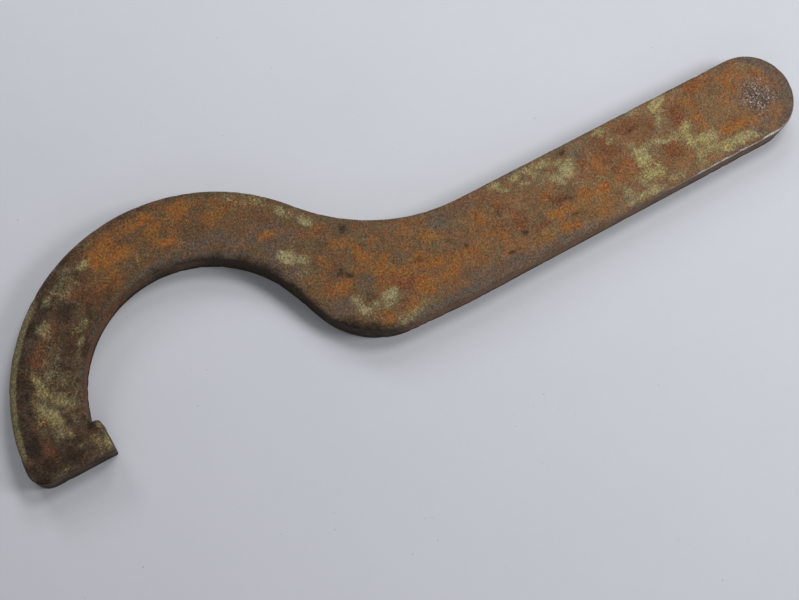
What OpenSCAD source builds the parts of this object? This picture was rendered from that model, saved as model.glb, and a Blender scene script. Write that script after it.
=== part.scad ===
// Hook spanner (C-spanner) for slotted ring nuts, cut from flat steel in one piece.
// It lies flat: Z = 0 is its underside, the nut's axis is X = Y = 0, and the
// handle runs out along +X. The hook closes round the nut and its nose drops
// into one of the nut's slots.

/* [Nut] */
// Diameter of the ring nut that the hook closes round
nut_d = 63.5; // [62:0.5:65]

/* [Plate] */
// Thickness of the plate
plate_t = 8; // [5:0.5:12]

/* [Hook] */
// Radius of the hook's outer edge
hook_r = 51.2; // [50.5:0.1:52]
// How far the outer edge's centre lies from the nut's axis towards the handle
hook_ahead = 0.6; // [0:0.1:1]
// How far the outer edge's centre lies below the nut's axis
hook_below = 1.1; // [0.5:0.1:1.5]
// Radius of the rounded outer corner behind the nose
corner_r = 4.4; // [3:0.1:6]

/* [Nose] */
// How far the nose stands in from the seat, which is the depth of slot it fills
nose_depth = 2.7; // [2:0.1:3.5]
// Width of the nose from flank to flank, which is the width of slot it fills
nose_w = 9.1; // [8:0.1:10]
// How far the nose's lower flank lies below the nut's axis
nose_below = 4.9; // [4.5:0.1:5.5]

/* [Handle] */
// Width of the handle, which is the width of the bar it was cut from
handle_w = 25.4; // [24:0.1:27]
// How far the handle's centre line lies below the nut's axis
handle_below = 0.6; // [0:0.1:1.2]
// Distance from the nut's axis to the end of the handle
handle_reach = 182.5; // [150:0.5:220]

/* [Neck] */
// Radius of the hollow between the hook's back and the handle
saddle_r = 51.8; // [48:0.1:56]
// Radius of the heel under the neck
heel_r = 22.5; // [21:0.1:24]
// How far the bottom of the heel stands up from the handle's lower edge
heel_rise = 0.8; // [0.3:0.1:1]
// Distance from the nut's axis to where the handle's lower edge becomes straight
heel_run = 72; // [70:0.5:80]
// Angle round the nut at which the seat ends and the straight above the heel starts
seat_end = 20.5; // [18:0.5:22]

/* [Hidden] */
$fn = 96;
// How far a straight run is sunk into the circle that it touches, so that the two join
lap = 0.01;

function ray(a) = [cos(a), sin(a)];

seat_r = nut_d / 2;
hook_c = [hook_ahead, -hook_below];
end_r = handle_w / 2;
end_c = [handle_reach - end_r, -handle_below];
handle_top = end_r - handle_below;
handle_bottom = -end_r - handle_below;

// The saddle's circle touches the hook's outer edge and the handle's top edge.
saddle_rise = handle_top + saddle_r - hook_c.y;
saddle_run = sqrt((hook_r + saddle_r) ^ 2 - saddle_rise ^ 2);
saddle_c = hook_c + [saddle_run, saddle_rise];
back_end = hook_c + hook_r * ray(atan2(saddle_rise, saddle_run));

// The heel's circle touches the straight that runs off the seat, and the lower
// edge's short taper touches the heel's circle.
heel_y = handle_bottom + heel_rise + heel_r;
heel_x = (seat_r + heel_r - heel_y * sin(seat_end)) / cos(seat_end);
heel_c = [heel_x, heel_y];
seat_out = seat_r * ray(seat_end);
heel_in = heel_c - (heel_r - lap) * ray(seat_end);
taper_end = [heel_run, handle_bottom];
taper_gap = taper_end - heel_c;
heel_out_angle = atan2(taper_gap.y, taper_gap.x) - acos(heel_r / norm(taper_gap));
heel_out = heel_c + (heel_r - lap) * ray(heel_out_angle);

// The nose's flanks are parallel to the handle, and its tip is square to them.
nose_low = -nose_below;
nose_high = nose_low + nose_w;
nose_tip = nose_depth - seat_r;
nose_root = nose_tip - 2 * nose_depth;

// The corner's circle touches the nose's lower flank and the hook's outer edge.
corner_rise = nose_low + corner_r - hook_c.y;
corner_run = -sqrt((hook_r - corner_r) ^ 2 - corner_rise ^ 2);
corner_c = hook_c + [corner_run, corner_rise];

// The hook's outer disc, without the quarter that is open to the nut
module hook_disc() {
    far = 2 * hook_r;
    intersection() {
        translate(hook_c) circle(hook_r);
        polygon([[-far, nose_low], [0, nose_low], [0, seat_out.y], [far, seat_out.y],
            [far, far], [-far, far]]);
    }
}

// The neck and the handle, with the round heel and the round end
module neck_and_handle() {
    polygon([hook_c, seat_out, heel_in, heel_c, heel_out, taper_end,
        [end_c.x, handle_bottom], [end_c.x, handle_top], [saddle_c.x, handle_top], back_end]);
    translate(heel_c) circle(heel_r);
    translate(end_c) circle(end_r);
}

// What is cut away outside the rounded corner behind the nose
module corner_waste() {
    far = 3 * corner_r;
    corner_angle = atan2(corner_rise, corner_run);
    polygon([corner_c, corner_c + far * ray(corner_angle), corner_c + far * ray(225),
        corner_c + far * ray(270)]);
}

module outline() {
    difference() {
        union() {
            hook_disc();
            neck_and_handle();
        }
        circle(seat_r);
        translate(saddle_c) circle(saddle_r);
        corner_waste();
    }
    translate(corner_c) circle(corner_r);
    polygon([[nose_root, nose_low], [nose_tip, nose_low], [nose_tip, nose_high],
        [nose_root, nose_high]]);
}

module spanner_body() {
    color("saddlebrown") linear_extrude(plate_t) outline();
}

spanner_body();
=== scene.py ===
"""A hook spanner of flat forged steel, rusty and with scraps of old paint, lying on a pale bench.

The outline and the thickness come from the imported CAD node. This script adds what the CAD leaves out:
rounded and worn edges, a forged and pitted skin, rust, scraps of paint, and the bench with its soft light.
Lengths are millimetres here and metres in Blender. The origin is the axis of the nut that the hook fits.
"""

import itertools
import math

import bpy
import numpy as np
from mathutils import Matrix, Vector
from mathutils.geometry import delaunay_2d_cdt
from mathutils.kdtree import KDTree


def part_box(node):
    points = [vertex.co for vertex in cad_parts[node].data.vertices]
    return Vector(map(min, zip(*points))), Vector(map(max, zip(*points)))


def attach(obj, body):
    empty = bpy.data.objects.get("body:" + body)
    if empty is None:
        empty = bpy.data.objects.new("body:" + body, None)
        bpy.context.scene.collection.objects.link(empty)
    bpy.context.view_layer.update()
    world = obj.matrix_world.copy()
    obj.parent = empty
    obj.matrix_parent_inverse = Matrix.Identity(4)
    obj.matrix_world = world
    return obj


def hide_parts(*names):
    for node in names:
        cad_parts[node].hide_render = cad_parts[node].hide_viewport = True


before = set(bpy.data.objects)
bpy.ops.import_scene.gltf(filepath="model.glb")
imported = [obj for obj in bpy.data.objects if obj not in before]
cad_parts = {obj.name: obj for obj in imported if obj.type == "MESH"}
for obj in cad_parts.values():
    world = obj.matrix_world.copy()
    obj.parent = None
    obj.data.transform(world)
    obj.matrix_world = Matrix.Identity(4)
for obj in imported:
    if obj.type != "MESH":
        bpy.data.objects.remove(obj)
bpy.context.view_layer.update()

MM = 0.001
NODE = "spanner_body"

# ---------------------------------------------------------------- sizes, in mm
TRACE_STEP = 0.1        # along the outline while it is smoothed
OUTLINE_STEP = 0.5      # between the mesh's columns round the edge
CORNER_STEP = 0.25      # the same near the nose's corners
CORNER_REACH = 3.0      # how far a corner's finer steps reach
FACE_STEP = 0.5         # between points on the two faces
FACE_MARGIN = 0.31      # least distance of those points from the rounded edge
FIRST_ROW = 0.3         # from the face's lowest point up to their lowest row
ROUNDING_ROWS = 6       # rows over a quarter turn of a rounded edge
WALL_ROWS = 12          # rows down the flat of the wall

SMOOTH_BLUR = 0.9       # smoothing of the plain outline
CRISP_BLUR = 0.38       # at the nose's lower corner and in its notch
WORN_BLUR = 0.75        # at the nose's upper corner, which is worn round
WORN_REACH = 1.4        # how far that worn corner reaches

UPPER_EDGE = 0.45       # rounding of the upper edge where nothing more has worn it
LOWER_EDGE = 0.35       # the same for the lower edge
NOSE_EDGE = 0.34        # rounding of both edges at the nose's corners
NOSE_REACH = 2.6        # how far that rounding reaches

PITS = 1500             # corrosion pits on the whole skin
PIT_RADIUS = (0.5, 1.5)
PIT_DEPTH = (0.03, 0.12)    # as a share of the pit's radius
KNOCK_DEPTH = 0.18      # of the knocks in the edges
LEAST_DEPTH = 0.005     # of the worn skin below the plain plate
STAMP_DENTS = 46        # random dents in the worn patch near the handle's end
STAMP_SPREAD = (2.4, 2.8)   # how widely they scatter, along the handle and across it
DENT_RADIUS = (0.45, 0.85)
DENT_DEPTH = 0.09

# ---------------------------------------------------------------- places, in mm
LOW, HIGH = (np.array(corner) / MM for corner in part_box(NODE))
THICK = HIGH[2] - LOW[2]
HANDLE_END = HIGH[0]
HANDLE_LOW = LOW[1]
HOOK_LEFT = LOW[0]
HOOK_TOP = HIGH[1]
HOOK_MIDDLE = np.array([0.6, -1.1])     # the middle of the hook's outer edge, as in part.scad
HOOK_RADIUS = HOOK_TOP - HOOK_MIDDLE[1]
SEAT_RADIUS = 31.75
END_RADIUS = 12.7
END_MIDDLE = np.array([HANDLE_END - END_RADIUS, HANDLE_LOW + END_RADIUS])

HEEL = (45, -9)                                 # its edge is worn rounder
HEEL_SHADE_RIM = (41, -7)                             # painted shade along the face's rim, where it turns away from the light
LINK_SHADE_RIM = [(26, 20), (32, 8)]                  # the same, between the seat and the heel
SHADED_WALLS = [(22, 24), (31, 8), (40, -6)]      # walls in deep shade between the hook and the heel, painted darkest
DIMMED_WALLS = [(-40, -6), (0, 32)]              # walls in some shade, painted a little darker
REDDISH_WALLS = [(-16, 27), (-28, 15)]          # the seat's wall inside the hook
RUBBED_EDGE = (166, HANDLE_LOW)                 # edges that are rubbed bright near the handle's end
RUBBED_CORNER = (178, 8)
BRIGHT_SPOT = (169, HANDLE_LOW)
STAMP_STAIN = (HANDLE_END - 11, -1.2)           # the worn patch near the handle's end
STAMP_MIDDLE = (HANDLE_END - 11.5, -0.6)        # the dents in it

# Patches on the upper face, listed one by one: x, y, half length, half width, turn in degrees, strength.
PAINT = [
    (132.0, -1.8, 2.4, 3.0, 0, 1.0), (130.5, -6.8, 3.4, 2.6, 0, 0.62), (134.0, -7.2, 2.0, 2.2, 0, 0.6),
    (128.0, -11.2, 4.6, 1.4, 0, 0.85), (123.0, -8.6, 2.2, 2.0, 0, 0.5), (122.5, -11.2, 1.6, 0.8, 0, 0.6),
    (131.2, 2.2, 1.6, 2.0, 0, 0.5), (137.6, -11.0, 2.6, 1.2, 0, 0.55), (136.0, 0.4, 2.4, 0.9, -10, 0.55),
    (140.2, -0.4, 3.6, 1.2, -10, 0.75), (144.6, 0.0, 2.0, 0.8, 0, 0.5), (143.4, -3.2, 1.4, 1.6, 0, 0.4),
    (147.6, 0.6, 1.8, 2.4, -15, 0.85), (146.4, -3.2, 1.6, 2.2, 0, 0.85), (147.0, -8.0, 1.6, 2.6, 0, 0.85),
    (151.4, -5.4, 3.2, 1.9, -15, 0.9), (150.6, -8.6, 3.4, 2.0, 0, 0.8), (147.6, -11.2, 3.2, 1.2, 0, 0.35),
    (147.0, -5.6, 2.2, 2.6, 0, 0.55), (155.0, -9.8, 3.4, 1.8, 0, 0.8), (160.8, -9.8, 3.8, 1.6, -8, 0.92),
    (164.2, -10.0, 1.4, 0.9, 0, 0.6), (144.6, 10.4, 3.2, 1.3, 18, 0.95), (143.6, 8.0, 1.2, 1.2, 0, 0.55),
    (141.8, 5.2, 1.2, 2.4, -12, 0.6), (137.4, 10.8, 2.8, 1.2, 0, 0.5), (124.4, 10.2, 2.0, 1.5, -20, 0.72),
    (126.2, 7.6, 0.9, 1.4, 20, 0.6), (111.4, 4.9, 3.0, 1.9, 22, 1.0), (113.4, 7.0, 1.8, 0.9, 10, 0.75),
    (107.2, 4.2, 2.6, 1.1, -20, 0.8), (108.4, 2.4, 1.8, 0.7, -20, 0.6), (112.6, 0.4, 2.2, 0.7, -10, 0.42),
    (116.4, 3.0, 1.8, 1.6, 0, 0.35), (90.6, 10.4, 2.0, 1.2, -20, 0.7), (93.0, 8.4, 1.9, 0.9, -15, 0.62),
    (97.0, 9.9, 2.2, 1.2, 0, 0.48), (99.0, 6.7, 1.7, 1.0, -20, 0.75), (102.4, 10.2, 2.6, 1.2, 0, 0.7),
    (102.8, 7.9, 1.6, 0.8, 30, 0.66), (106.2, 9.8, 1.9, 1.4, 0, 0.6), (104.0, 6.0, 3.4, 1.4, -10, 0.4),
    (109.6, 8.0, 2.0, 1.2, 0, 0.45), (118.4, -0.8, 0.9, 1.6, 30, 0.42), (32.4, 18.9, 2.5, 1.9, -35, 0.9),
    (35.0, 16.8, 2.2, 1.1, -25, 0.62), (34.6, 13.2, 2.4, 2.0, 0, 0.2), (36.6, 31.2, 2.8, 1.5, -48, 0.66),
    (38.6, 29.4, 1.6, 1.2, -45, 0.5), (41.6, 26.0, 2.2, 1.2, -48, 0.78), (30.8, 37.4, 3.4, 1.6, -40, 0.4),
    (26.4, 41.2, 3.0, 1.5, -30, 0.3), (42.2, 0.6, 1.3, 1.5, 0, 0.62), (43.0, -2.6, 1.4, 2.6, 28, 0.75),
    (46.2, -3.6, 2.0, 1.3, 0, 0.6), (51.0, -3.0, 2.3, 1.8, 25, 0.92), (48.8, -4.8, 1.8, 1.3, 0, 0.62),
    (52.0, -10.2, 5.4, 1.4, 0, 0.42), (58.0, -9.4, 3.0, 1.7, 0, 0.46), (71.8, 1.8, 1.6, 1.0, -20, 0.32),
    (-1.0, 37.8, 5.4, 2.2, 0, 0.15), (156.0, 3.4, 5.0, 3.0, 0, 0.14), (-15.2, 42.0, 1.8, 1.4, 0, 0.6),
    (-19.4, 43.0, 2.4, 1.2, 20, 0.4), (-27.0, 37.4, 2.0, 1.0, 35, 0.62), (-24.6, 38.8, 1.4, 1.6, 60, 0.4),
    (-31.4, 30.4, 1.5, 2.6, 12, 0.66), (-38.6, 17.6, 1.2, 4.6, -4, 0.66), (-38.4, 9.0, 1.9, 3.0, 0, 0.88),
    (-40.2, 12.6, 2.0, 2.8, 0, 0.66), (-36.0, 13.0, 2.6, 2.4, 0, 0.55), (-33.6, 10.6, 2.2, 2.2, 0, 0.62),
    (-31.0, 14.0, 1.0, 3.6, -22, 0.4), (-33.8, 20.0, 2.6, 0.9, -15, 0.5), (-39.4, 5.6, 1.8, 1.8, 0, 0.62),
    (-37.0, 4.4, 1.0, 1.6, 30, 0.42), (-24.2, 23.8, 5.4, 0.9, 52, 0.42), (-22.4, 28.0, 2.6, 1.6, 40, 0.38),
    (-29.8, -2.0, 0.9, 2.8, 0, 0.66), (-31.6, -1.6, 1.4, 2.0, 0, 0.5), (-29.6, 2.6, 0.7, 1.6, 0, 0.5),
    (-33.2, 17.0, 3.0, 12.0, -6, 0.34), (-22.0, 38.6, 4.0, 4.0, 40, 0.42), (-41.6, -4.1, 2.2, 0.6, 0, 0.35),
    (-39.0, 2.0, 0.8, 1.2, 40, 0.3),
]
RUST_ORANGE = [
    (-8.4, 44.0, 3.8, 2.2, 12, 0.85), (-6.2, 40.4, 4.8, 1.8, 0, 0.9), (-12.0, 41.6, 1.8, 3.0, 0, 0.75),
    (-2.6, 45.2, 3.6, 1.6, 0, 0.55), (4.0, 46.2, 4.4, 1.5, -5, 0.7), (6.0, 37.8, 3.0, 2.0, 0, 0.85),
    (5.0, 42.6, 4.2, 2.4, 0, 0.55), (12.4, 43.8, 4.0, 1.9, 8, 0.95), (10.0, 40.0, 4.4, 3.0, 0, 0.4),
    (-11.0, 35.6, 4.0, 3.0, 20, 0.5), (-2.0, 36.0, 5.0, 2.0, 0, 0.4), (20.6, 38.0, 4.4, 3.2, -20, 0.5),
    (21.0, 42.6, 4.4, 1.4, -20, 0.3), (27.0, 38.0, 4.0, 2.6, -35, 0.36), (31.0, 27.0, 3.4, 1.5, 0, 0.5),
    (26.0, 29.4, 3.6, 2.2, -30, 0.12), (35.0, 26.0, 4.0, 3.0, -40, 0.22), (46.0, 15.6, 3.2, 2.2, -15, 0.66),
    (48.8, 12.6, 1.8, 3.2, 0, 0.7), (41.0, 13.6, 3.4, 2.6, 0, 0.36), (43.2, 21.6, 3.4, 2.6, -45, 0.2),
    (40.8, 5.0, 3.0, 2.2, 0, 0.85), (36.4, 8.4, 2.6, 2.4, 0, 0.36), (52.0, 7.8, 5.6, 3.0, -25, 0.5),
    (53.6, 3.6, 4.0, 1.9, -32, 0.85), (57.6, 1.2, 3.0, 2.4, 0, 0.8), (58.0, 6.6, 5.0, 3.0, 0, 0.42),
    (62.6, 2.0, 3.4, 2.4, 0, 0.75), (52.0, 1.0, 2.6, 1.8, 0, 0.6), (61.0, -4.8, 3.2, 2.4, 0, 0.85),
    (66.2, -0.8, 3.4, 2.0, 0, 0.85), (67.6, -4.8, 4.0, 2.6, 0, 0.62), (72.0, -3.0, 3.0, 2.4, 0, 0.66),
    (48.0, -7.6, 2.8, 1.8, 0, 0.7), (54.0, -7.8, 4.4, 2.0, 0, 0.66), (54.0, 13.0, 5.4, 3.0, -30, 0.34),
    (65.4, 11.0, 4.6, 2.6, -20, 0.4), (69.0, 6.6, 4.4, 3.0, 0, 0.52), (77.6, 4.0, 3.8, 3.4, 0, 0.34),
    (83.6, 5.0, 4.0, 3.4, 0, 0.5), (78.0, -4.0, 5.4, 3.4, 0, 0.42), (83.6, -0.6, 4.0, 3.0, 0, 0.4),
    (95.0, 4.0, 4.0, 3.0, 0, 0.15), (85.0, -4.6, 4.0, 3.0, 0, 0.34), (97.0, -7.6, 4.4, 2.4, 0, 0.46),
    (103.6, -4.4, 4.2, 1.5, -8, 0.88), (101.0, 0.8, 2.2, 2.6, 0, 0.46), (112.4, -3.6, 3.4, 2.0, 0, 0.7),
    (117.0, -4.2, 2.6, 1.8, 0, 0.85), (108.0, -6.0, 5.4, 1.6, 0, 0.6), (113.6, -8.6, 5.4, 2.4, 0, 0.5),
    (103.0, -8.6, 4.0, 2.0, 0, 0.5), (119.4, 1.8, 2.8, 3.4, 0, 0.5), (125.0, -3.4, 3.4, 2.8, 0, 0.34),
    (160.4, -5.6, 5.6, 1.3, -3, 1.0), (166.0, -6.6, 2.6, 1.2, 0, 0.6), (151.6, 7.2, 3.0, 1.2, 0, 0.5),
    (152.4, 1.0, 1.8, 3.6, 0, 0.6), (157.0, 9.2, 3.4, 1.6, 0, 0.36), (168.0, 8.2, 5.0, 2.0, -5, 0.5),
    (165.6, 5.0, 1.9, 2.6, 0, 0.6), (174.6, 5.6, 3.4, 2.4, -40, 0.4), (160.4, 1.6, 4.4, 3.6, 0, 0.2),
    (141.0, -7.6, 4.0, 2.0, 0, 0.2), (175.0, -7.0, 3.0, 2.4, 40, 0.2),
]
RUST_RED = [
    (124.0, 5.0, 5.4, 4.4, 0, 0.85), (126.4, -1.0, 4.6, 3.4, 0, 0.66), (133.0, 8.2, 4.4, 2.0, 0, 0.75),
    (147.4, 5.6, 2.8, 3.4, 0, 0.8), (141.4, -4.6, 3.4, 2.8, 0, 0.8), (152.0, 9.0, 3.0, 1.8, 0, 0.5),
    (117.0, 3.0, 2.6, 3.8, 0, 0.6), (157.0, 9.0, 5.6, 2.2, 0, 0.72), (136.0, 4.6, 3.4, 2.0, 0, 0.5),
    (131.0, 5.0, 2.4, 2.0, 0, 0.5), (147.4, 9.0, 2.4, 1.4, 0, 0.6), (88.2, 4.4, 1.1, 3.0, -18, 0.85),
    (92.0, -1.6, 3.0, 2.8, 0, 0.75), (87.0, -1.0, 3.6, 2.4, 0, 0.5), (102.2, 0.4, 1.0, 2.2, 20, 0.9),
    (106.0, -1.6, 3.8, 1.4, -14, 0.9), (96.0, -4.6, 3.6, 1.6, -20, 0.5), (56.4, -2.0, 4.4, 2.2, -15, 0.8),
    (54.0, 1.6, 2.4, 1.4, -20, 0.42), (42.0, 12.4, 3.4, 2.6, 0, 0.5), (44.6, 20.8, 3.6, 2.2, -45, 0.5),
    (36.6, 8.8, 2.4, 2.2, 0, 0.42), (29.0, 33.4, 4.0, 2.4, -30, 0.36), (22.0, 41.4, 5.0, 1.8, -25, 0.42),
    (10.4, 38.6, 3.4, 2.4, 0, 0.42), (-3.0, 43.6, 4.0, 2.0, 0, 0.4), (-35.6, 25.0, 3.0, 3.4, 0, 0.78),
    (-30.0, 28.0, 4.0, 4.0, 40, 0.5), (-18.0, 38.0, 5.0, 2.8, 20, 0.6), (-14.0, 33.4, 4.4, 2.4, 20, 0.5),
    (-27.0, 26.4, 3.4, 2.8, 50, 0.4), (-39.4, 21.0, 1.6, 2.6, 0, 0.42), (-44.0, 2.0, 3.0, 3.4, 0, 0.42),
    (-41.6, 9.6, 1.8, 0.9, 20, 0.5), (66.6, 12.0, 3.4, 2.0, 0, 0.4), (83.0, 5.4, 2.4, 1.6, 0, 0.4),
    (120.6, -6.6, 2.6, 2.2, 0, 0.4), (62.0, -2.0, 3.0, 2.0, 0, 0.3),
]
SCALE_DARK = [
    (42.4, 9.0, 1.5, 1.4, 0, 0.8), (44.2, 7.2, 1.9, 0.8, -35, 0.66), (46.4, 5.4, 1.6, 0.6, -30, 0.55),
    (49.2, 19.0, 1.6, 1.8, 0, 0.6), (62.6, 2.2, 2.0, 1.2, -20, 0.36), (-48.0, -3.0, 2.6, 5.4, 0, 0.85),
    (-13.0, 32.6, 5.0, 2.4, 15, 0.5), (-22.4, 27.6, 3.2, 3.2, 50, 0.42), (31.0, 13.4, 2.0, 4.0, 10, 0.3),
    (46.6, -1.0, 2.6, 1.2, 0, 0.4), (72.4, 1.6, 2.4, 0.8, -40, 0.6), (75.4, -0.8, 1.1, 1.0, 0, 0.75),
    (106.4, -2.0, 2.6, 0.8, -15, 0.6), (102.4, 0.2, 0.6, 1.2, 10, 0.6), (107.6, -7.4, 2.6, 1.0, 0, 0.5),
    (85.6, -7.6, 1.4, 1.0, 0, 0.66), (91.4, -5.0, 2.2, 0.7, 0, 0.6), (134.2, 7.4, 2.4, 0.8, 0, 0.66),
    (113.0, 10.0, 2.6, 1.1, 0, 0.5), (138.0, 8.6, 2.0, 0.7, 0, 0.4), (88.6, 3.6, 0.8, 2.0, -18, 0.4),
    (-33.4, 8.0, 1.6, 0.9, 0, 0.5), (-36.2, 6.4, 1.8, 1.2, 0, 0.75), (-35.0, 1.6, 5.4, 2.0, 0, 0.66),
    (-38.0, -2.0, 6.0, 2.4, 0, 0.55), (-46.0, 0.0, 2.6, 5.0, 0, 0.7), (-31.6, 3.0, 1.4, 1.4, 0, 0.8),
    (-40.0, -3.0, 8.0, 1.2, 0, 0.42), (-27.4, 26.0, 3.4, 3.0, 50, 0.36), (-36.0, 17.6, 1.6, 2.0, 0, 0.5),
    (-22.0, 32.0, 4.0, 2.0, 40, 0.16), (34.0, 33.0, 3.0, 1.2, -45, 0.3), (-31.0, 17.6, 2.0, 2.6, 0, 0.42),
    (172.0, -1.8, 2.6, 3.0, 0, 0.34), (142.0, 1.6, 3.0, 0.6, 0, 0.2),
]
SKIN_GREY = [
    (15.6, 33.2, 6.4, 2.2, -18, 0.7), (22.0, 29.0, 4.0, 2.4, -40, 0.7), (47.6, 3.0, 3.4, 2.0, 0, 0.6),
    (54.0, 10.4, 3.6, 1.8, 0, 0.4), (37.6, 0.6, 2.8, 3.6, 0, 0.6), (73.4, 9.0, 3.6, 2.6, 0, 0.66),
    (82.0, 9.4, 5.0, 1.8, 0, 0.4), (85.0, -10.8, 16.0, 1.8, 0, 0.72), (171.4, -1.6, 3.8, 4.6, 0, 0.8),
    (166.4, -10.6, 1.8, 1.6, 0, 0.8), (35.0, 24.4, 4.4, 2.4, -50, 0.6), (29.4, 22.6, 2.4, 4.0, 20, 0.66),
    (32.4, 13.0, 2.0, 3.6, 10, 0.5), (114.6, 6.4, 2.0, 3.6, 0, 0.5), (104.4, 8.0, 6.0, 2.6, 0, 0.36),
    (178.0, -5.0, 2.4, 5.0, 10, 0.7), (178.6, 4.0, 1.6, 4.0, -20, 0.7), (170.4, -8.8, 4.0, 1.8, 0, 0.6),
    (118.0, -9.8, 4.0, 1.6, 0, 0.5), (17.0, 44.6, 3.4, 1.6, -20, 0.5), (140.6, 3.4, 4.0, 1.6, 0, 0.5),
    (-20.0, 42.0, 5.4, 1.6, 25, 0.36), (4.0, 33.8, 6.0, 1.4, 0, 0.5), (120.0, 9.6, 3.0, 1.6, 0, 0.4),
    (74.0, -8.6, 2.6, 1.8, -40, 0.5), (27.4, 28.8, 3.4, 3.0, -40, 0.6), (32.0, 29.0, 3.0, 2.4, -40, 0.5),
    (77.0, 5.2, 3.4, 2.8, 0, 0.55), (62.0, 12.6, 4.6, 2.0, -20, 0.5), (42.0, 21.0, 3.0, 2.4, -45, 0.4),
    (156.0, -12.0, 3.4, 0.8, 0, 0.5), (167.0, 0.6, 2.6, 3.0, 0, 0.42), (83.0, -6.6, 2.6, 3.0, 0, 0.36),
    (133.4, -11.0, 2.0, 1.0, 0, 0.5),
]

# The camera: what it looks at and how far off, in mm, then its bearing from the handle's direction, its
# rise above the bench and its roll, in degrees.
CAMERA_AIM = (54.2, -3.5, 0.0)
CAMERA_DISTANCE = 334
CAMERA_BEARING = 223.6
CAMERA_RISE = 73.4
CAMERA_ROLL = 17.3
CAMERA_LENS = 56        # focal length in mm for a picture 36 mm wide

# Lamps: name, bearing from the handle's direction, rise above the bench (degrees), power (watts).
LAMPS = [
    ("top", 30, 65, 0.55), ("right", 325, 45, 0.6), ("left", 60, 45, 0.3), ("low_left", 105, 30, 0.35),
    ("low_behind", 250, 30, 0.1),
]
LAMPS_MIDDLE = (65, 15, 0)      # the place on the bench that they all face, in mm
LAMP_DISTANCE = 480             # from there to each lamp, in mm
LAMP_WIDTH = 160                # across each round lamp, in mm
ROOM_GLOW = 0.19                # strength of the even light from all round
BENCH_REACH = 4000              # from the origin to each side of the bench, in mm


# ---------------------------------------------------------------- noise
class Noise:
    """Smooth seeded noise in space, from about -1 to 1."""

    def __init__(self, seed):
        draw = np.random.default_rng(seed)
        self.order = np.tile(draw.permutation(256), 3)
        slopes = draw.normal(size=(256, 3))
        self.slopes = slopes / np.linalg.norm(slopes, axis=1)[:, None]

    def one(self, points):
        cell = np.floor(points).astype(int)
        part = points - cell
        ease = part ** 3 * (part * (part * 6 - 15) + 10)
        cell &= 255
        total = np.zeros(len(points))
        for corner in itertools.product((0, 1), repeat=3):
            x, y, z = (cell + corner).T
            slope = self.slopes[self.order[self.order[self.order[x] + y] + z]]
            weight = np.where(corner, ease, 1 - ease).prod(1)
            total += weight * ((part - corner) * slope).sum(1)
        return total * 1.6

    def __call__(self, points, size, octaves=1):
        total = np.zeros(len(points))
        for octave in range(octaves):
            total += self.one(points * 2 ** octave / size + 17.3 * octave) / 2 ** octave
        return total


# ---------------------------------------------------------------- the outline
def face_outline(node):
    """The outline of the node's upper face, anticlockwise."""
    points = np.array([vertex.co for vertex in node.data.vertices]) / MM
    top = points[:, 2].max()
    follows = {}
    for face in node.data.polygons:
        corners = [tuple(np.round(points[i], 3)) for i in face.vertices]
        if min(corner[2] for corner in corners) < top - 0.01:
            continue
        for here, there in zip(corners, corners[1:] + corners[:1]):
            follows.setdefault(here, set()).add(there)
    edges = {a: b for a, ends in follows.items() for b in ends if a not in follows.get(b, ())}
    loop = [min(edges)]
    while edges[loop[-1]] != loop[0]:
        loop.append(edges[loop[-1]])
    return np.array(loop)[:, :2]


def stations(loop):
    """How far round the loop each point is, with the whole length last."""
    steps = np.linalg.norm(np.roll(loop, -1, 0) - loop, axis=1)
    return np.r_[0, steps.cumsum()]


def points_at(loop, distances):
    closed = np.vstack([loop, loop[:1]])
    at = stations(loop)
    return np.stack([np.interp(distances, at, closed[:, axis]) for axis in (0, 1)], 1)


def blurred(values, blur):
    """Values round a closed loop, smoothed. The blur is in samples."""
    reach = int(4 * blur) + 1
    weights = np.exp(-0.5 * (np.arange(-reach, reach + 1) / blur) ** 2)
    weights /= weights.sum()
    padded = np.concatenate([values[-reach:], values, values[:reach]])
    columns = padded.reshape(len(padded), -1).T
    smooth = np.stack([np.convolve(column, weights, "valid") for column in columns], 1)
    return smooth.reshape(values.shape)


def sharp_corners(loop):
    """The loop's points where it turns by more than 45 degrees, and whether each sticks out."""
    before = loop - np.roll(loop, 1, 0)
    after = np.roll(loop, -1, 0) - loop
    turn = np.arctan2(before[:, 0] * after[:, 1] - before[:, 1] * after[:, 0], (before * after).sum(1))
    sharp = abs(turn) > math.radians(45)
    return loop[sharp], turn[sharp] > 0


def near(points, places, reach):
    """1 at the places, falling to 0 beyond their reach."""
    apart = np.linalg.norm(points[:, None] - np.atleast_2d(places)[None], axis=2).min(1)
    return np.exp(-((apart / reach) ** 4))


def ramp(values, start, end):
    """0 up to the start, rising evenly to 1 at the end. The end may lie below the start."""
    return np.clip((values - start) / (end - start), 0, 1)


def round_hook(points):
    """How far in each point is from the hook's outer edge, and its bearing in degrees from the middle."""
    away = points[:, :2] - HOOK_MIDDLE
    return HOOK_RADIUS - np.linalg.norm(away, axis=1), np.degrees(np.arctan2(away[:, 1], away[:, 0]))


def worn_outline(loop):
    """The loop with its corners worn round, as closely spaced points. Also gives its corners."""
    corners, out = sharp_corners(loop)
    fine = points_at(loop, np.arange(0, stations(loop)[-1], TRACE_STEP))
    upper = corners[out][corners[out][:, 1].argmax()]
    smooth = blurred(fine, SMOOTH_BLUR / TRACE_STEP)
    crisp = near(fine, corners, CORNER_REACH)[:, None]
    smooth = smooth * (1 - crisp) + blurred(fine, CRISP_BLUR / TRACE_STEP) * crisp
    worn = near(fine, upper, WORN_REACH)[:, None]
    return smooth * (1 - worn) + blurred(fine, WORN_BLUR / TRACE_STEP) * worn, corners


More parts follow.
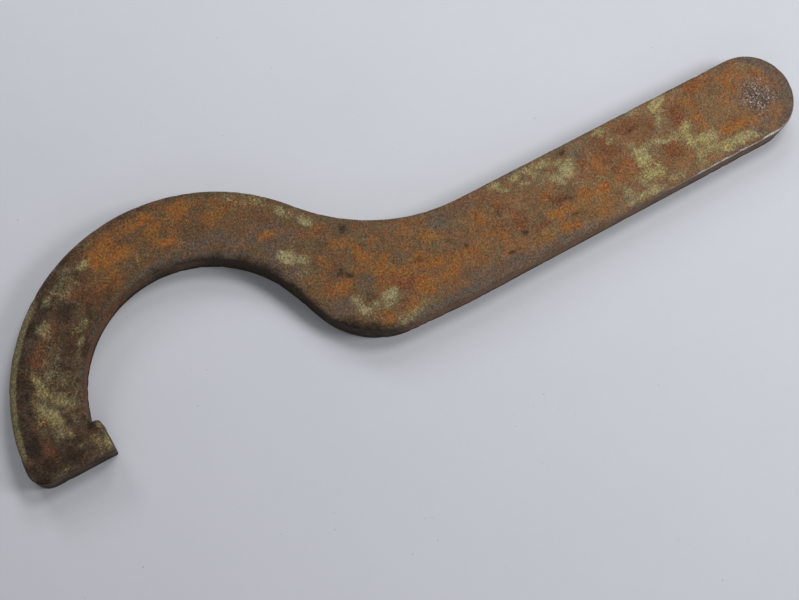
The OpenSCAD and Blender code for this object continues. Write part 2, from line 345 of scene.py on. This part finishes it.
def columns_of(trace, corners):
    """Points round the trace, closer together near its corners, and the outward direction at each."""
    fine = near(trace, corners, CORNER_REACH)
    step = OUTLINE_STEP * (1 - fine) + CORNER_STEP * fine
    at = stations(trace)
    pace = np.r_[0, np.cumsum(np.diff(at) / step)]
    count = round(pace[-1])
    distances = np.interp(np.arange(count) * pace[-1] / count, pace, at)
    heading = np.roll(trace, -3, 0) - np.roll(trace, 3, 0)
    outward = np.c_[heading[:, 1], -heading[:, 0]]
    closed = np.vstack([outward, outward[:1]])
    outward = np.stack([np.interp(distances, at, closed[:, axis]) for axis in (0, 1)], 1)
    outward /= np.linalg.norm(outward, axis=1)[:, None]
    return points_at(trace, distances), outward, distances


def hook_rim(points):
    """1 on the hook's outer rim from past its crown down to its nose, 0 elsewhere."""
    inward, angle = round_hook(points)
    return ramp(inward, 2.5, 1.0) * ramp(angle, 122, 147) * ramp(angle, 182, 174)


def edge_radii(points, corners, noise):
    """The rounding of the upper and the lower edge at each column."""
    x, y = points.T
    at_seat = abs(np.linalg.norm(points, axis=1) - SEAT_RADIUS) < 1.0
    at_end = ramp(x, HANDLE_END - 13, HANDLE_END - 10) * (y > HANDLE_LOW + 1)
    at_heel = near(points, HEEL, 18) * (y < 2)
    upper = UPPER_EDGE + 0.6 * hook_rim(points) + 0.2 * at_end + 0.35 * at_seat + 0.35 * at_heel
    lower = LOWER_EDGE + 0.2 * hook_rim(points)
    wander = 1 + 0.22 * noise(np.c_[points, np.zeros(len(points))], 9.0, 2)
    upper = blurred(upper, 5) * wander
    lower = blurred(lower, 5) * (2 - wander)
    nose = near(points, corners, NOSE_REACH)
    return upper * (1 - nose) + NOSE_EDGE * nose, lower * (1 - nose) + NOSE_EDGE * nose


# ---------------------------------------------------------------- the mesh
def edge_rows(upper, lower):
    """For each row down the edge: how far in it is, its height, and its slope in radians from flat."""
    quarter = np.linspace(0, math.pi / 2, ROUNDING_ROWS + 1)
    rows = []
    for slope in quarter:
        rows.append((upper * (1 - math.sin(slope)), THICK - upper * (1 - math.cos(slope)), slope))
    for share in np.arange(1, WALL_ROWS) / WALL_ROWS:
        rows.append((0 * upper, (THICK - upper) * (1 - share) + lower * share, math.pi / 2))
    for slope in quarter + math.pi / 2:
        rows.append((lower * (1 - math.sin(slope)), lower * (1 + math.cos(slope)), slope))
    return rows


def spread_inside(ring):
    """Points in a close hexagonal pattern inside the ring, clear of it."""
    tree = KDTree(len(ring))
    for index, (x, y) in enumerate(ring):
        tree.insert((x, y, 0), index)
    tree.balance()
    ahead = np.roll(ring, -1, 0)
    row_gap = FACE_STEP * math.sqrt(3) / 2
    found = []
    for number, y in enumerate(np.arange(ring[:, 1].min() + FIRST_ROW, ring[:, 1].max(), row_gap)):
        crossed = (ring[:, 1] > y) != (ahead[:, 1] > y)
        a, b = ring[crossed], ahead[crossed]
        crossings = np.sort(a[:, 0] + (y - a[:, 1]) * (b[:, 0] - a[:, 0]) / (b[:, 1] - a[:, 1]))
        first = HOOK_LEFT + (number % 2) * FACE_STEP / 2
        for start, end in crossings.reshape(-1, 2):
            steps = np.arange(math.ceil((start - first) / FACE_STEP), (end - first) / FACE_STEP)
            row = first + FACE_STEP * steps
            found.extend((x, y) for x in row if tree.find((x, y, 0))[2] > FACE_MARGIN)
    return np.array(found)


def filled(ring):
    """Points inside the ring and the triangles that fill it, which number the ring's points first."""
    inner = spread_inside(ring)
    points = [Vector(p) for p in np.vstack([ring, inner])]
    made = delaunay_2d_cdt(points, [], [list(range(len(ring)))], 1, 1e-7)
    origin = [sources[0] for sources in made[3]]
    triangles = [[origin[i] for i in face] for face in made[2]]
    return inner, np.array(triangles)


def plate(points, outward, upper, lower):
    """Vertices, their plain outward directions and the faces of the whole plate, before it is worn."""
    count = len(points)
    rows = edge_rows(upper, lower)
    places, facing = [], []
    for inset, height, slope in rows:
        flat = points - outward * inset[:, None]
        places.append(np.c_[flat, height])
        facing.append(np.c_[outward * math.sin(slope), np.full(count, math.cos(slope))])
    faces = []
    for row in range(len(rows) - 1):
        a = row * count + np.arange(count)
        b = row * count + (np.arange(count) + 1) % count
        faces.extend(np.stack([a, a + count, b + count, b], 1).tolist())
    last = (len(rows) - 1) * count
    start = len(rows) * count
    for level, ring_at, up in ((THICK, 0, 1), (0.0, last, -1)):
        ring = places[ring_at // count][:, :2]
        inner, triangles = filled(ring)
        places.append(np.c_[inner, np.full(len(inner), level)])
        facing.append(np.tile([0.0, 0.0, up], (len(inner), 1)))
        numbers = np.where(triangles < count, triangles + ring_at, triangles - count + start)
        faces.extend(numbers[:, ::up].tolist())
        start += len(inner)
    return np.vstack(places), np.vstack(facing), faces


# ---------------------------------------------------------------- patches of finish
def closeness(places, patches):
    """How deep in a patch each place is: its strength in the middle, half that at its rim, 0 well outside."""
    best = np.zeros(len(places))
    for x, y, length, width, turn, strength in patches:
        c, s = math.cos(math.radians(turn)), math.sin(math.radians(turn))
        away = places - (x, y)
        reach = np.hypot(away @ (c, s) / length, away @ (-s, c) / width)
        best = np.maximum(best, strength * np.exp(-0.7 * reach ** 2.5))
    return best


def scattered(draw, count, biggest):
    """Random patches over the underside, in the form that closeness() takes."""
    patches = []
    while len(patches) < count:
        x, y = draw.uniform(HOOK_LEFT, HANDLE_END), draw.uniform(HANDLE_LOW, HOOK_TOP)
        length, width = draw.uniform(1.5, biggest), draw.uniform(1.0, biggest / 2)
        patches.append((x, y, length, width, draw.uniform(0, 180), draw.uniform(0.4, 1.0)))
    return patches


class Skin:
    """The plate's vertices before they are worn, with the zones that the finishes follow.

    edge is each vertex's distance in from the outline, and arris is 1 on the rounded edges.
    """

    def __init__(self, places, facing, edge, arris):
        self.places = places
        self.x, self.y, self.z = places.T
        self.facing = facing
        self.edge = edge
        self.arris = arris
        self.up = ramp(facing[:, 2], 0.1, 0.5)
        self.down = ramp(-facing[:, 2], 0.1, 0.5)
        self.side = 1 - self.up - self.down
        self.outer, self.angle = round_hook(places)
        self.nose_side = ramp(self.x, -12, -20)
        shift = np.stack([Noise(3)(places + offset, 4.0, 4) for offset in (0, 40)], 1)
        self.shifted = places[:, :2] + 0.9 * shift
        self.draw = np.random.default_rng(8)

    def near(self, where, reach):
        return near(self.places[:, :2], where, reach)

    def noise(self, seed, size, octaves):
        return Noise(seed)(self.places, size, octaves)

    def streaks(self, seed):
        """Noise drawn out along the plate, which makes streaks along its walls."""
        return Noise(seed)(self.places * (0.12, 0.12, 1.0), 1.1, 2)

    def rim(self):
        """A band of uneven width just inside the upper face's outline, painted darker and greyer as the shade
        of the rounded edge.
        """
        return self.up * ramp(self.edge / (1.0 + 0.4 * self.noise(41, 9.0, 3)), 1.6, 0.6)

    def shaded_slope_band(self):
        """The band just inside the hook's outer rim, from past its crown towards its nose, where the face
        slopes away from the light: painted shade.
        """
        return ramp(self.outer, 1.4, 2.2) * ramp(self.outer, 6.6, 4.6) * ramp(self.angle, 118, 132)

    def crown_shade_band(self):
        """The band along the hook's crown, painted darker as the shade of its rounded edge."""
        return ramp(self.outer, 3.3, 1.1) * ramp(self.angle, 74, 86) * ramp(self.angle, 134, 126)

    def seat_shade_band(self):
        """The band along the seat, fading out towards both of its ends, painted darker and greyer as the
        shade of the edge that turns away from the light.
        """
        inner = np.linalg.norm(self.places[:, :2], axis=1) - SEAT_RADIUS
        return ramp(inner, 3.64, 1.04) * ramp(self.y, 8, 18) * ramp(self.x, -12, 0)

    def low_band(self):
        """The band along the handle's lower edge, fading out before the worn end."""
        return ramp(self.y, HANDLE_LOW + 4, HANDLE_LOW + 2) * ramp(self.x, 122, 102)

    def end_ring(self):
        """The band round the handle's end."""
        inward = END_RADIUS - np.linalg.norm(self.places[:, :2] - END_MIDDLE, axis=1)
        return ramp(inward, 3.96, 1.76) * ramp(self.x, END_MIDDLE[0] + 1, END_MIDDLE[0] + 4)

    def share(self, patches, seed, size, count, biggest, lift=0.0, on_sides=0.0, below=0.0):
        """One finish: its patches on the upper face, random ones on the underside, a level on the walls."""
        under = closeness(self.shifted, scattered(self.draw, count, biggest)) + below
        known = self.up * closeness(self.shifted, patches) + self.down * under + self.side * on_sides
        return known + lift + 0.16 * self.noise(seed, size, 3)


def paint_share(skin):
    return skin.share(PAINT, 31, 3.0, 60, 5.0)


def orange_share(skin):
    """Fresh rust, kept off the rims and thinner on the hook's nose side."""
    share = skin.share(RUST_ORANGE, 33, 6.0, 70, 7.0, lift=0.05, on_sides=0.1, below=0.14)
    return share - 0.2 * skin.nose_side - 0.5 * skin.rim() - 0.5 * skin.end_ring()


def red_share(skin):
    """Old rust, also on the seat's wall inside the hook."""
    walls = 0.2 + 0.42 * skin.near(REDDISH_WALLS, 10)
    return skin.share(RUST_RED, 34, 6.0, 50, 7.0, lift=0.05, on_sides=walls, below=0.16)


def dark_share(skin):
    """Dark scale in patches and in streaks along the walls, darker towards the bottom of the walls, and
    painted shade in bands along the face's rims and on the walls that stand in shade.
    """
    # painted shade: walls that stand in shade are coloured darker; the next term makes the walls darker
    # towards the bottom
    walls = 0.2 + skin.near(SHADED_WALLS, 12) + 0.35 * skin.near(DIMMED_WALLS, 12)
    walls += (0.75 + 0.4 * skin.noise(52, 9.0, 3)) * ramp(skin.z, 2.4, 0.9)
    walls += 0.25 * skin.streaks(51)
    dark = skin.share(SCALE_DARK, 35, 4.0, 50, 4.0, on_sides=walls)
    # painted shade: darker bands along the face's rims and the hook's outer slope, where the edge turns away
    # from the light
    bands = [
        0.58 * skin.shaded_slope_band(),
        0.42 * skin.crown_shade_band(),
        (0.42 + 0.2 * ramp(skin.x, 8, 20)) * skin.seat_shade_band(),
        0.75 * ramp(skin.edge, 3.92, 1.12) * skin.near(HEEL_SHADE_RIM, 12),
        0.62 * ramp(skin.edge, 2.6, 0.6) * skin.near(LINK_SHADE_RIM, 8),
        0.3 * skin.rim(),
    ]
    for band in bands:
        dark = np.maximum(dark, skin.up * band)
    return dark


def grey_share(skin):
    """Grey skin in patches and on the walls, most near the handle's end; grey bands along the handle's lower
    edge and round its end, and painted shade in grey bands along the face's rim, the seat and the hook's
    outer slope.
    """
    walls = 0.35 + 0.5 * ramp(skin.x, 115, 130)
    grey = skin.share(SKIN_GREY, 36, 7.0, 40, 8.0, lift=0.05, on_sides=walls)
    # the rim, seat and outer-slope bands are painted shade; the lower-edge band and the end ring are grey
    # skin
    bands = [
        0.9 * skin.low_band() * skin.up,
        0.5 * skin.rim(),
        0.85 * skin.seat_shade_band() * skin.up,
        1.1 * skin.end_ring() * skin.up,
        0.4 * skin.shaded_slope_band() * skin.up,
    ]
    for band in bands:
        grey = np.maximum(grey, band)
    return grey


def bare_share(skin):
    """Bright steel where the edges have been rubbed, most of it near the handle's end."""
    rubbed = skin.near(RUBBED_EDGE, 30) * ramp(skin.y, -4, -8)
    rubbed = np.maximum(rubbed, 0.8 * skin.near(RUBBED_CORNER, 9))
    along_low = ramp(skin.y, HANDLE_LOW + 2, HANDLE_LOW + 1)
    level = 0.06 + 0.7 * rubbed + 0.4 * along_low + 0.25 * skin.end_ring() + 0.4 * skin.near(BRIGHT_SPOT, 6)
    return skin.arris * level * np.clip(0.75 + 0.6 * skin.noise(9, 5.0, 3), 0, 1)


def olive_rim(skin):
    """Olive paint left on the hook's rounded outer rim."""
    band = ramp(skin.outer, 2.3, 1.3) * ramp(skin.angle, 124, 134) * ramp(skin.angle, 178, 172)
    return band * ramp(skin.facing[:, 2], 0, 1 / 3)


def finish_shares(skin):
    """The share of each finish at every vertex, as {name: array}."""
    return {
        "paint": paint_share(skin),
        "rust_orange": orange_share(skin),
        "rust_red": red_share(skin),
        "dark_scale_and_shade": dark_share(skin),
        "grey_skin_and_shade": grey_share(skin),
        "bare_edge": bare_share(skin),
        "hook_brown": skin.nose_side,
        "handled": ramp(skin.x, 15, 115),
        "stamp": skin.up * skin.near(STAMP_STAIN, 5.2),
        "olive_rim": olive_rim(skin),
    }


# ---------------------------------------------------------------- wear and pits
def pitting(places, facing, rust, draw):
    """Depth of small round corrosion pits, more of them where there is rust."""
    depth = np.zeros(len(places))
    chance = 0.25 + rust
    middles = draw.choice(len(places), PITS, replace=False, p=chance / chance.sum())
    tree = KDTree(len(places))
    for index, place in enumerate(places):
        tree.insert(place, index)
    tree.balance()
    for middle in middles:
        radius = draw.uniform(*PIT_RADIUS)
        deep = draw.uniform(*PIT_DEPTH) * radius
        for _, index, apart in tree.find_range(places[middle], radius):
            if facing[index] @ facing[middle] > 0.3:
                depth[index] = max(depth[index], deep * (1 - (apart / radius) ** 2) ** 2)
    return depth


def wear_depth(skin, shares, draw):
    """How deep below the plain plate each vertex lies, from forging, rust, pits and knocks."""
    depth = 0.02 + 0.03 * skin.noise(11, 16.0, 2)
    depth += 0.014 * (1 + skin.noise(12, 3.2, 2))
    rust = np.clip(shares["rust_orange"] + shares["rust_red"], 0, 1)
    depth += 0.02 * rust * (1 + skin.noise(13, 1.3, 2))
    depth -= 0.02 * np.clip(shares["paint"], 0, 1)
    depth += pitting(skin.places, skin.facing, rust, draw)
    depth += 0.02 * ramp(abs(skin.facing[:, 2]), 1 / 3, 0) * (1 + skin.streaks(15))
    knocks = np.clip(skin.noise(14, 2.6, 2) - 0.25, 0, 1)
    depth += KNOCK_DEPTH * skin.arris * knocks
    return np.clip(depth, LEAST_DEPTH, None)


def stamp_depth(skin, draw):
    """Small random dents in a worn patch near the handle's end, on the upper face."""
    depth = np.zeros(len(skin.places))
    top = skin.facing[:, 2] > 0.9
    for _ in range(STAMP_DENTS):
        spot = STAMP_MIDDLE + draw.normal(size=2) * STAMP_SPREAD
        apart = np.linalg.norm(skin.places[:, :2] - spot, axis=1)
        radius = draw.uniform(*DENT_RADIUS)
        depth = np.maximum(depth, top * DENT_DEPTH * np.clip(1 - (apart / radius) ** 2, 0, 1))
    return depth


# ---------------------------------------------------------------- the spanner
def unwrap(mesh, places, run, count, rows, length):
    """A UV map with the two faces and three strips of the edge laid side by side, for baking."""
    margin, strip_height, strip_pitch = 0.012, 0.05, 0.062
    scale = (1 - 2 * margin) / (HIGH[0] - LOW[0])
    tall = (HIGH[1] - LOW[1]) * scale + margin
    corner = np.zeros(len(mesh.loops), int)
    mesh.loops.foreach_get("vertex_index", corner)
    uv = np.zeros((len(corner), 2))
    strip = length / 3
    for face in mesh.polygons:
        loops = np.array(face.loop_indices)
        vertices = corner[loops]
        if len(vertices) == 4:
            row, column = vertices // count, vertices % count
            at = run[column]
            at = np.where(at < at.max() - length / 2, at + length, at)
            which = min(int(at.min() // strip), 2)
            uv[loops, 0] = margin + (at - which * strip) * scale
            uv[loops, 1] = margin + 2 * tall + which * strip_pitch + row / (rows - 1) * strip_height
        else:
            up = face.normal.z > 0
            uv[loops] = margin + (places[vertices][:, :2] - LOW[:2]) * scale
            uv[loops, 1] += 0 if up else tall
    layer = mesh.uv_layers.new(name="OFBake")
    layer.data.foreach_set("uv", uv.ravel())


def plate_skin(trace, places, facing, edge_vertices):
    """The Skin of the plain plate. Its first vertices are the ones round its edge."""
    tree = KDTree(len(trace))
    for index, (x, y) in enumerate(trace):
        tree.insert((x, y, 0), index)
    tree.balance()
    edge = np.array([tree.find((x, y, 0))[2] for x, y in places[:, :2]])
    slope = np.abs(facing[:, 2])
    arris = np.exp(-(((slope - 0.7) / 0.35) ** 2))
    arris[edge_vertices:] = 0
    return Skin(places, facing, edge, arris)


def spanner():
    """The whole spanner as one mesh, with the share of each finish as attributes."""
    trace, corners = worn_outline(face_outline(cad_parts[NODE]))
    points, outward, run = columns_of(trace, corners)
    upper, lower = edge_radii(points, corners, Noise(1))
    places, facing, faces = plate(points, outward, upper, lower)

    count = len(points)
    rows = 2 * (ROUNDING_ROWS + 1) + WALL_ROWS - 1
    skin = plate_skin(trace, places, facing, rows * count)
    draw = np.random.default_rng(21)
    shares = finish_shares(skin)
    depth = wear_depth(skin, shares, draw)
    depth += stamp_depth(skin, draw)
    shares["pitted"] = np.clip(depth * 3, 0, 1)

    mesh = bpy.data.meshes.new("spanner")
    worn = places - facing * depth[:, None]
    mesh.from_pydata((worn * MM).tolist(), [], faces)
    mesh.polygons.foreach_set("use_smooth", np.ones(len(faces), bool))
    for name, values in shares.items():
        layer = mesh.attributes.new(name, "FLOAT", "POINT")
        layer.data.foreach_set("value", values.astype(np.float32))
    unwrap(mesh, places, run, count, rows, stations(trace)[-1])
    mesh.update()
    piece = bpy.data.objects.new("spanner", mesh)
    bpy.context.scene.collection.objects.link(piece)
    return piece


# ---------------------------------------------------------------- materials
class Shader:
    """Adds nodes to one material. Sizes of patterns are in mm."""

    def __init__(self, name):
        self.material = bpy.data.materials.new(name)
        self.material.use_nodes = True
        self.tree = self.material.node_tree
        self.surface = self.tree.nodes["Principled BSDF"]
        place = self.add("ShaderNodeTexCoord")
        per_mm = (1 / MM,) * 3
        self.place = self.add("ShaderNodeMapping", Vector=place.outputs["Object"], Scale=per_mm).outputs[0]

    def add(self, kind, settings=(), **sockets):
        node = self.tree.nodes.new(kind)
        for name, value in dict(settings).items():
            setattr(node, name, value)
        for name, value in sockets.items():
            self.plug(node.inputs[name.replace("_", " ")], value)
        return node

    def plug(self, socket, value):
        if isinstance(value, bpy.types.NodeSocket):
            self.tree.links.new(value, socket)
        else:
            socket.default_value = value

    def noise(self, size, detail=2.0, rough=0.5, seed=0.0):
        node = self.add("ShaderNodeTexNoise", {"noise_dimensions": "4D"}, Vector=self.place, Scale=1 / size,
                        Detail=detail, Roughness=rough, W=seed * 7.7)
        return node.outputs["Fac"]

    def share(self, name):
        return self.add("ShaderNodeAttribute", {"attribute_name": name}).outputs["Fac"]

    def maths(self, operation, a, b=0.0, c=0.0):
        node = self.add("ShaderNodeMath", {"operation": operation})
        for socket, value in zip(node.inputs, (a, b, c)):
            self.plug(socket, value)
        return node.outputs[0]

    def step(self, value, low, high):
        """0 below low, 1 above high, smooth between."""
        node = self.add("ShaderNodeMapRange", {"interpolation_type": "SMOOTHSTEP"}, Value=value)
        node.inputs["From Min"].default_value = low
        node.inputs["From Max"].default_value = high
        return node.outputs[0]

    def mix(self, share, a, b, way="MIX"):
        node = self.add("ShaderNodeMix", {"data_type": "RGBA", "blend_type": way})
        self.plug(node.inputs[0], share)
        for socket, value in zip((node.inputs[6], node.inputs[7]), (a, b)):
            self.plug(socket, value if isinstance(value, bpy.types.NodeSocket) else (*value, 1.0))
        return node.outputs[2]

    def blend(self, share, a, b):
        node = self.add("ShaderNodeMix", {"data_type": "FLOAT"})
        for socket, value in zip(node.inputs[:1] + node.inputs[2:4], (share, a, b)):
            self.plug(socket, value)
        return node.outputs[0]

    def coat(self, under, share, strength, pattern, dark, light):
        """The colour under a coat, which covers it by share times strength and runs from dark to light."""
        return self.mix(self.maths("MULTIPLY", share, strength), under, self.mix(pattern, dark, light))

    def cover(self, share, blotch, grain, ragged, grainy, low, high):
        """Coverage from 0 to 1: a share whose rim wanders with one pattern and is broken by a finer one."""
        wander = self.maths("MULTIPLY_ADD", blotch, ragged, -ragged / 2)
        breaks = self.maths("MULTIPLY_ADD", grain, grainy, -grainy / 2)
        return self.step(self.maths("ADD", share, self.maths("ADD", wander, breaks)), low, high)


class Grains:
    """The noise patterns that the steel's finishes share."""

    def __init__(self, s):
        self.broad = s.noise(12.0, 4)
        sizes = (4.5, 4.0, 3.6, 4.2, 3.0)
        self.blotches = [s.noise(size, 5, 0.62, seed) for seed, size in enumerate(sizes, 1)]
        self.fine = s.noise(0.6, 3, 0.7, seed=7)
        self.other = s.noise(0.5, 3, 0.7, seed=9)
        self.speck = s.noise(0.35, 2, 0.65, seed=8)


def brown_skin(s, grains):
    """The colour of the steel's brown skin: darkest on the hook's nose side, with a trace of thin paint."""
    patchy = s.step(grains.broad, 0.36, 0.64)
    arch = s.mix(patchy, (0.155, 0.084, 0.04), (0.12, 0.082, 0.044))
    handle = s.mix(patchy, (0.27, 0.14, 0.066), (0.225, 0.143, 0.07))
    colour = s.mix(s.share("handled"), arch, handle)
    for blotch, low, tint in ((1, 0.45, (0.21, 0.092, 0.045)), (4, 0.42, (0.125, 0.07, 0.037))):
        patchy = s.step(grains.blotches[blotch], low, low + 0.2)
        colour = s.mix(s.maths("MULTIPLY", patchy, 0.5), colour, tint)
    nose_side = s.mix(s.step(grains.blotches[0], 0.4, 0.62), (0.055, 0.034, 0.021), (0.12, 0.074, 0.043))
    colour = s.mix(s.share("hook_brown"), colour, nose_side)
    veil = s.step(s.share("paint"), 0.06, 0.7)
    return s.coat(colour, veil, 0.6, s.share("hook_brown"), (0.2, 0.155, 0.08), (0.15, 0.12, 0.075))


def scale_and_rust(s, grains, colour):
    """Grey skin, both rusts and dark scale over the brown, the grey and the dark also carrying painted shade,
    with the cover of both rusts.
    """
    fine, other, blotches = grains.fine, grains.other, grains.blotches
    # grey skin, and painted shade along the rims
    grey = s.cover(s.share("grey_skin_and_shade"), blotches[0], fine, 1.4, 0.4, 0.15, 0.9)
    colour = s.coat(colour, grey, 0.8, fine, (0.085, 0.06, 0.05), (0.17, 0.13, 0.1))
    red = s.cover(s.share("rust_red"), blotches[1], other, 1.6, 0.7, 0.15, 0.9)
    colour = s.coat(colour, red, 0.8, fine, (0.1, 0.034, 0.016), (0.28, 0.115, 0.054))
    orange = s.cover(s.share("rust_orange"), blotches[2], fine, 1.6, 0.7, 0.1, 0.9)
    colour = s.coat(colour, orange, 0.8, other, (0.2, 0.07, 0.016), (0.44, 0.19, 0.05))
    # dark scale, and painted shade along the rims and on the walls that stand in shade
    dark = s.cover(s.share("dark_scale_and_shade"), blotches[3], other, 1.2, 0.6, 0.2, 0.85)
    colour = s.coat(colour, dark, 0.94, fine, (0.01, 0.007, 0.005), (0.05, 0.034, 0.023))
    hue = s.step(s.noise(2.2, 3, 0.6, seed=10), 0.36, 0.64)
    colour = s.mix(0.5, colour, s.mix(hue, (0.86, 1.06, 1.16), (1.14, 0.9, 0.8)), "MULTIPLY")
    return colour, s.maths("MAXIMUM", orange, red)


def old_paint(s, grains, colour):
    """Scraps of pale olive paint and the olive rim, with the scraps' cover."""
    paint = s.cover(s.share("paint"), grains.blotches[4], grains.other, 1.3, 1.9, 0.17, 0.92)
    paint = s.maths("MULTIPLY", paint, s.maths("MULTIPLY_ADD", s.share("hook_brown"), -0.22, 1.0))
    pale = s.mix(s.step(grains.broad, 0.4, 0.6), (0.62, 0.52, 0.2), (0.56, 0.47, 0.25))
    colour = s.coat(colour, paint, 0.9, grains.fine, (0.17, 0.135, 0.06), pale)
    rim = s.maths("MULTIPLY_ADD", grains.fine, 0.5, s.maths("SUBTRACT", s.share("olive_rim"), 0.25))
    rim = s.step(rim, 0.2, 0.8)
    return s.coat(colour, rim, 0.85, grains.fine, (0.1, 0.08, 0.04), (0.28, 0.24, 0.13)), paint


def specks(s, grains, colour):
    """Dark and pale specks in the worn patch near the handle's end, fine grain all over and dark pits."""
    stain = s.share("stamp")
    colour = s.mix(s.maths("MULTIPLY", s.step(grains.other, 0.53, 0.6), stain), colour, (0.05, 0.035, 0.035))
    colour = s.mix(s.maths("MULTIPLY", s.step(grains.fine, 0.53, 0.6), stain), colour, (0.36, 0.31, 0.3))
    for grain, low, high in ((grains.fine, 0.8, 1.18), (grains.speck, 0.58, 1.44)):
        shade = s.mix(s.step(grain, 0.33, 0.67), (low, low, low), (high, high, high))
        colour = s.mix(1.0, colour, shade, "MULTIPLY")
    pits = s.step(s.share("pitted"), 0.45, 0.95)
    return s.mix(s.maths("MULTIPLY", pits, 0.6), colour, (0.03, 0.02, 0.014))


def skin_bump(s, grains, paint):
    """The skin's grain, with the paint standing a little proud."""
    height = s.maths("MULTIPLY_ADD", grains.blotches[2], 1.6, s.maths("MULTIPLY", grains.fine, 0.8))
    height = s.maths("ADD", height, s.maths("MULTIPLY", grains.speck, 0.6))
    height = s.maths("ADD", height, s.maths("MULTIPLY", paint, 0.35))
    return s.add("ShaderNodeBump", Height=height, Strength=0.8, Distance=0.15 * MM).outputs[0]


def rusty_steel():
    """Old forged steel: brown skin, dark scale, two ages of rust, scraps of paint and bare worn edges, with
    painted shade along the rims and on shaded walls.
    """
    s = Shader("rusty_steel")
    grains = Grains(s)
    colour, rust = scale_and_rust(s, grains, brown_skin(s, grains))
    colour, paint = old_paint(s, grains, colour)
    colour = specks(s, grains, colour)
    bare = s.step(s.maths("MULTIPLY_ADD", grains.fine, 0.4, s.share("bare_edge")), 0.55, 0.85)
    s.plug(s.surface.inputs["Base Color"], s.mix(bare, colour, (0.38, 0.36, 0.34)))

    rough = s.blend(bare, s.blend(paint, s.blend(rust, 0.62, 0.84), 0.58), 0.36)
    rough = s.maths("MULTIPLY_ADD", grains.fine, 0.2, s.maths("SUBTRACT", rough, 0.1))
    s.plug(s.surface.inputs["Roughness"], rough)
    s.plug(s.surface.inputs["Metallic"], s.maths("MULTIPLY", bare, 0.75))
    s.plug(s.surface.inputs["Normal"], skin_bump(s, grains, paint))
    s.surface.inputs["Specular IOR Level"].default_value = 0.12
    return s.material


def bench_top():
    """A pale blue-grey painted bench with faint mottling and a few specks of dust."""
    s = Shader("bench_top")
    tone = s.maths("MULTIPLY_ADD", s.noise(30.0, 3), 0.6, s.maths("MULTIPLY", s.noise(3.0, 4), 0.4))
    colour = s.mix(tone, (0.70, 0.725, 0.785), (0.76, 0.782, 0.84))
    specks = s.step(s.noise(0.9, 2, seed=5), 0.71, 0.77)
    dusty = s.step(s.noise(14.0, 2, seed=6), 0.56, 0.6)
    dust = s.maths("MULTIPLY", s.maths("MULTIPLY", specks, dusty), 0.6)
    s.plug(s.surface.inputs["Base Color"], s.mix(dust, colour, (0.25, 0.22, 0.22)))
    s.surface.inputs["Roughness"].default_value = 0.7
    s.surface.inputs["Specular IOR Level"].default_value = 0.2
    return s.material


# ---------------------------------------------------------------- the set
def bench():
    """A large flat plane under the object."""
    mesh = bpy.data.meshes.new("bench")
    reach = BENCH_REACH * MM
    corners = [(-reach, -reach, 0), (reach, -reach, 0), (reach, reach, 0), (-reach, reach, 0)]
    mesh.from_pydata(corners, [], [(0, 1, 2, 3)])
    mesh.materials.append(bench_top())
    top = bpy.data.objects.new("bench", mesh)
    bpy.context.scene.collection.objects.link(top)


def soft_lamp(name, place, aim, power):
    """A round soft lamp at a place in mm, turned towards another."""
    lamp = bpy.data.lights.new(name, "AREA")
    lamp.shape = "DISK"
    lamp.size = LAMP_WIDTH * MM
    lamp.energy = power
    holder = bpy.data.objects.new(name, lamp)
    holder.location = place * MM
    holder.rotation_euler = (aim - place).to_track_quat("-Z", "Y").to_euler()
    holder.visible_camera = False
    bpy.context.scene.collection.objects.link(holder)


def lights():
    """Soft lamps round the bench and an even glow from all round."""
    middle = Vector(LAMPS_MIDDLE)
    for name, bearing, rise, power in LAMPS:
        level = math.cos(math.radians(rise))
        turn = math.radians(bearing)
        away = Vector((math.cos(turn) * level, math.sin(turn) * level, math.sin(math.radians(rise))))
        soft_lamp(name, middle + away * LAMP_DISTANCE, middle, power)
    world = bpy.data.worlds.new("room")
    world.use_nodes = True
    glow = world.node_tree.nodes["Background"]
    glow.inputs["Color"].default_value = (1.0, 1.0, 1.0, 1.0)
    glow.inputs["Strength"].default_value = ROOM_GLOW
    bpy.context.scene.world = world
    bpy.context.scene.view_settings.view_transform = "Standard"


def camera():
    """Looks down on the spanner from the hook's side of its middle."""
    data = bpy.data.cameras.new("camera")
    data.lens = CAMERA_LENS
    data.sensor_width = 36.0
    data.clip_start = 0.01
    holder = bpy.data.objects.new("camera", data)
    turn = Matrix.Rotation(math.radians(CAMERA_BEARING + 90), 4, "Z")
    turn @= Matrix.Rotation(math.radians(90 - CAMERA_RISE), 4, "X")
    turn @= Matrix.Rotation(math.radians(CAMERA_ROLL), 4, "Z")
    away = Matrix.Translation((0, 0, CAMERA_DISTANCE * MM))
    holder.matrix_world = Matrix.Translation(Vector(CAMERA_AIM) * MM) @ turn @ away
    bpy.context.scene.collection.objects.link(holder)
    bpy.context.scene.camera = holder


camera()
lights()
bench()

piece = spanner()
piece.data.materials.append(rusty_steel())
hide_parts(NODE)
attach(piece, "root")
